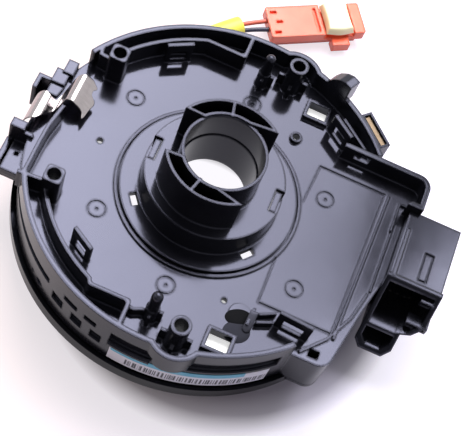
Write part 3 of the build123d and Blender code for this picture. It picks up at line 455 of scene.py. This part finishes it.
def plastic(name, low, high, gloss, wave=0.10, tint=(1, 1, 1, 1), edge=0.9, glow=0.0,
            upright=0.0, sheen=0.5):
    """Moulded plastic: faint colour drift, uneven gloss, wavy faces, a fine skin and soft edges.

    With upright above 0, its upright faces have at least that roughness, and a lower sheen than the
    polished flat ones, which is painted shade that darkens the sides. The edge is the radius in
    millimetres over which edges look rounded.
    """
    surface = Surface(name)
    drift = surface.noise(*COLOUR_NOISE)
    surface.set("Base Color", surface.ramp(drift, *between(NOISE_SPAN, (*low, 1), (*high, 1))))
    rough = surface.ramp(surface.noise(*GLOSS_NOISE), *between(GLOSS_SPAN, *gloss))
    surface.set("Specular IOR Level", sheen)
    if upright:
        normal = surface.add("ShaderNodeNewGeometry").outputs["True Normal"]
        up = surface.parts(normal)["Z"]
        duller = surface.ramp(up, *between(UPRIGHT_SPAN, upright, 0.0))
        rough = surface.math("MAXIMUM", rough, duller)
        # Painted shade: upright faces get a lower sheen, so the sides look darker.
        shaded_sheen = surface.ramp(up, *between(UPRIGHT_SPAN, UPRIGHT_SHADE_SHEEN * sheen, sheen))
        surface.set("Specular IOR Level", shaded_sheen)
    surface.set("Roughness", rough)
    relief = None
    if edge:
        bevel = surface.add("ShaderNodeBevel", {"Radius": edge * MM}, samples=EDGE_SAMPLES)
        relief = bevel.outputs["Normal"]
    relief = surface.bump(surface.noise(*WAVE_NOISE), wave, WAVE_DEPTH, relief)
    relief = surface.bump(surface.noise(*SKIN_NOISE), SKIN_STRENGTH, SKIN_DEPTH, relief)
    surface.set("Normal", relief)
    surface.set("IOR", PLASTIC_IOR)
    # The specular tint paints the lavender colour of the reflections.
    surface.set("Specular Tint", tint)
    # A glow above 0 is painted light: the plastic shines though it is no lamp.
    surface.set("Emission Color", (1, 1, 1, 1))
    surface.set("Emission Strength", glow)
    return surface.material


def metal(name, colour, gloss):
    """Plated sheet metal with a faint rolling grain."""
    surface = Surface(name)
    surface.set("Metallic", 1.0)
    dark = (*(METAL_SHADE * value for value in colour), 1)
    drift = surface.noise(*METAL_COLOUR_NOISE, GRAIN_STRETCH)
    surface.set("Base Color", surface.ramp(drift, *between(NOISE_SPAN, dark, (*colour, 1))))
    rough = surface.noise(*METAL_GLOSS_NOISE, GRAIN_STRETCH)
    surface.set("Roughness", surface.ramp(rough, *between(NOISE_SPAN, *gloss)))
    grain = surface.noise(*METAL_GRAIN_NOISE, GRAIN_STRETCH)
    surface.set("Normal", surface.bump(grain, GRAIN_STRENGTH, GRAIN_DEPTH))
    return surface.material


def label_paper(name):
    """White strip, greyed and tinted lavender as painted shade, with a pale blue band along its top
    and a row of plain irregular bars.
    """
    surface = Surface(name)
    place = surface.parts(surface.object_place())
    turn = surface.math("ARCTAN2", place["X"], surface.math("MULTIPLY", place["Y"], -1.0))

    def inside(value, low, high, fade):
        """1 between two values and 0 beyond them."""
        return surface.math("MULTIPLY", surface.map_range(value, low - fade, low),
                            surface.map_range(value, high, high + fade, 1.0, 0.0))

    def field(row, span):
        return surface.math("MULTIPLY", inside(place["Z"], *row, ROW_FADE),
                            inside(turn, *span, SPAN_FADE))

    def painted(colour, paint, where):
        values = {"A": colour, "B": paint, "Factor": where}
        return surface.add("ShaderNodeMix", values, data_type="RGBA").outputs["Result"]

    values = {"W": turn, "Scale": BAR_NOISE[0], "Detail": BAR_NOISE[1]}
    noise = surface.add("ShaderNodeTexNoise", values, noise_dimensions="1D").outputs["Fac"]
    bars = surface.math("MULTIPLY", field(BAR_ROW, BAR_SPAN), surface.map_range(noise, *BAR_CUT))
    banded = painted(SHADED_PAPER, PALE_BLUE, field(BAND_ROW, BAND_SPAN))
    surface.set("Base Color", painted(banded, INK, bars))
    rough = surface.ramp(surface.noise(*PAPER_NOISE), *between(NOISE_SPAN, *PAPER_GLOSS))
    surface.set("Roughness", rough)
    return surface.material


def make_materials():
    materials = {name: plastic(name, **look) for name, look in PLASTICS.items()}
    materials.update({name: metal(name, *look) for name, look in METALS.items()})
    materials["white_paper"] = label_paper("white_paper")
    return materials


def dress_cad_nodes(materials):
    for entry in frame["record"]["subparts"]:
        node = entry["node"]
        solid = frame["nodes"][node]
        solid.data.materials.clear()
        solid.data.materials.append(materials[FINISH.get(node, entry["material_slot"])])


def finish_piece(piece, materials, finish, body):
    piece.data.materials.append(materials[finish])
    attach(piece, body)


def spline_curve(name, points, radius):
    """A smooth line with the route's points as its control points."""
    curve = bpy.data.curves.new(name, "CURVE")
    curve.dimensions = "3D"
    spline = curve.splines.new("NURBS")
    spline.points.add(len(points) - 1)
    for point, place in zip(spline.points, points):
        point.co = (*place, 1)
    spline.order_u = 3
    spline.use_endpoint_u = True
    spline.resolution_u = CORD_STEPS
    curve.bevel_depth = radius
    curve.bevel_resolution = CORD_ROUNDNESS
    curve.use_fill_caps = True
    piece = bpy.data.objects.new(name, curve)
    bpy.context.collection.objects.link(piece)
    return piece


def plug_point(distance, side, height):
    return (PLUG_NOSE[0] + distance * math.cos(PLUG_ANGLE) - side * math.sin(PLUG_ANGLE),
            PLUG_NOSE[1] + distance * math.sin(PLUG_ANGLE) + side * math.cos(PLUG_ANGLE), height)


def wire_route(side):
    """The sleeve's route, moved to one side, and on to the plug."""
    shift = [side * WIRE_OFFSET * share for share in WIRE_SIDEWAYS]
    points = [(x + shift[0], y + shift[1], z) for x, y, z in PIGTAIL_ROUTE]
    start = PIGTAIL_ROUTE[0]
    points[0] = (start[0] + shift[0], start[1] + WIRE_START, start[2])
    points.append(plug_point(0.0, side * ENTRY_OFFSET, ENTRY_HEIGHT))
    return points


def add_pigtail(materials):
    """The three cords. The wires end in the plug, which carries the lock tab."""
    for node, slot, route, length, radius, end in (
        ("pigtail_sleeve", "yellow_sleeve", PIGTAIL_ROUTE, SLEEVE_LENGTH, SLEEVE_RADIUS, "object"),
        ("wire_red", "red_wire", wire_route(1), RED_WIRE_LENGTH, WIRE_RADIUS, "plug"),
        ("wire_black", "black_wire", wire_route(-1), BLACK_WIRE_LENGTH, WIRE_RADIUS, "plug"),
    ):
        points = [tuple(value * MM for value in point) for point in route]
        piece = spline_curve(node + "_cord", points, radius)
        finish_piece(piece, materials, slot, "rotor")
        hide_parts(node)


def grid_piece(name, rows):
    """A smooth mesh from rows of points in millimetres, all of the same length."""
    width = len(rows[0])
    faces = []
    for row in range(len(rows) - 1):
        for column in range(width - 1):
            corner = row * width + column
            faces.append((corner, corner + 1, corner + width + 1, corner + width))
    mesh = bpy.data.meshes.new(name)
    mesh.from_pydata([tuple(Vector(point) * MM) for row in rows for point in row], [], faces)
    mesh.polygons.foreach_set("use_smooth", [True] * len(faces))
    piece = bpy.data.objects.new(name, mesh)
    bpy.context.collection.objects.link(piece)
    return piece


def subdivide(piece):
    modifier = piece.modifiers.new("smooth", "SUBSURF")
    modifier.levels = 1
    modifier.render_levels = 1


def thicken(piece, thickness):
    """Gives a sheet its thickness in millimetres and a smooth surface."""
    modifier = piece.modifiers.new("thickness", "SOLIDIFY")
    modifier.thickness = thickness * MM
    modifier.offset = 0
    subdivide(piece)


def smooth_line(points, steps):
    """Points along a Catmull-Rom line through the given ones."""
    line = []
    for index in range(len(points) - 1):
        a = Vector(points[max(index - 1, 0)])
        b = Vector(points[index])
        c = Vector(points[index + 1])
        d = Vector(points[min(index + 2, len(points) - 1)])
        for step in range(steps):
            t = step / steps
            line.append(0.5 * (2 * b + (c - a) * t + (2 * a - 5 * b + 4 * c - d) * t * t
                               + (3 * b - a - 3 * c + d) * t ** 3))
    line.append(Vector(points[-1]))
    return line


def read_line(points, value):
    """Reads a line of (value, level) points at a value."""
    for (low, first), (high, second) in zip(points, points[1:]):
        if value <= high:
            share = max(value - low, 0) / (high - low)
            return first + (second - first) * share
    return points[-1][1]


def add_left_clip(materials):
    """Leaf spring: a sheet bent in two lobes, with a slanted front edge and a torn, spiked end."""
    rows = []
    for x, z in smooth_line(CLIP_HEIGHT, CLIP_STEPS_ACROSS):
        front = read_line(CLIP_FRONT, x)
        back = read_line(CLIP_BACK, x)
        end_share = max(x - CLIP_END_START, 0) / (CLIP_HEIGHT[-1][0] - CLIP_END_START)
        row = []
        for step in range(CLIP_STEPS_ALONG + 1):
            y = front + (back - front) * step / CLIP_STEPS_ALONG
            reach = read_line(CLIP_END, y) * end_share
            row.append((x + reach, y, z - CLIP_END_DROP * reach))
        rows.append(row)
    piece = grid_piece("left_clip_sheet", rows)
    thicken(piece, CLIP_THICKNESS)
    finish_piece(piece, materials, "nickel_spring", "stator")
    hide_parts("left_spring_clip")


def add_dish(materials, name, middle, half, rise, finish):
    """A low slanting oval on the plate, with a rounded rim."""
    rows = []
    for ring in range(DISH_RINGS + 1):
        share = ring / DISH_RINGS
        row = []
        for step in range(DISH_STEPS + 1):
            turn = math.tau * step / DISH_STEPS
            u = half[0] * share * math.cos(turn)
            v = half[1] * share * math.sin(turn)
            x = middle[0] + u * math.cos(DISH_SLANT) - v * math.sin(DISH_SLANT)
            y = middle[1] + u * math.sin(DISH_SLANT) + v * math.cos(DISH_SLANT)
            row.append((x, y, rise * (1 - share ** DISH_RIM)))
        rows.append(row)
    finish_piece(grid_piece(name, rows), materials, finish, "stator")


def add_hook(materials):
    """Hook that stands over the recess's right edge."""
    rows = []
    for level in range(HOOK_STEPS + 1):
        up = level / HOOK_STEPS
        row = []
        for column in range(HOOK_STEPS + 1):
            side = column / HOOK_STEPS - 0.5
            bow = HOOK_BOW * (1 - 4 * side * side) * (1 - HOOK_BOW_LOSS * up)
            x = HOOK_FOOT[0] + (HOOK_HEAD[0] - HOOK_FOOT[0]) * up + HOOK_WIDTH * side
            y = HOOK_FOOT[1] + (HOOK_HEAD[1] - HOOK_FOOT[1]) * up ** HOOK_LEAN - bow
            row.append((x, y, HOOK_HEIGHT * up))
        rows.append(row)
    hook = grid_piece("plate_hook", rows)
    thicken(hook, HOOK_THICKNESS)
    finish_piece(hook, materials, "hook_painted_light", "stator")


def add_plug_lock(materials):
    """Lock tab: a rounded cushion with hollow ends and bulging sides."""
    rows = []
    for row in range(LOCK_STEPS + 1):
        v = 2 * row / LOCK_STEPS - 1
        line = []
        for column in range(LOCK_STEPS + 1):
            u = 2 * column / LOCK_STEPS - 1
            length = LOCK_LENGTH * (LOCK_ENDS[0] + LOCK_ENDS[1] * abs(v) ** 3)
            waist = LOCK_WAVE[0] + LOCK_WAVE[1] * math.cos(math.pi * u)
            width = (PLUG_WIDTH + LOCK_OVERHANG) * waist
            wall = (1 - abs(u) ** LOCK_SQUARE) * (1 - abs(v) ** LOCK_SQUARE)
            rise = (LOCK_HIGH - LOCK_CROWN - LOCK_LOW) * min(wall * LOCK_STEEP, 1) ** 0.5
            height = LOCK_LOW + rise + LOCK_CROWN * (1 - u * u) * (1 - v * v)
            middle = LOCK_START + LOCK_LENGTH / 2
            line.append(plug_point(middle + u * length / 2, v * width / 2, height))
        rows.append(line)
    piece = grid_piece("plug_lock_tab", rows)
    subdivide(piece)
    finish_piece(piece, materials, "ivory_plastic", "lock")
    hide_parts("plug_lock")
    return piece


bpy.context.scene.view_settings.view_transform = "Standard"
add_camera()
add_light()
add_floor()
MATERIALS = make_materials()
dress_cad_nodes(MATERIALS)
LOCK_TAB = add_plug_lock(MATERIALS)
add_pigtail(MATERIALS)
add_left_clip(MATERIALS)
for dish in DISHES:
    add_dish(MATERIALS, *dish)
add_hook(MATERIALS)
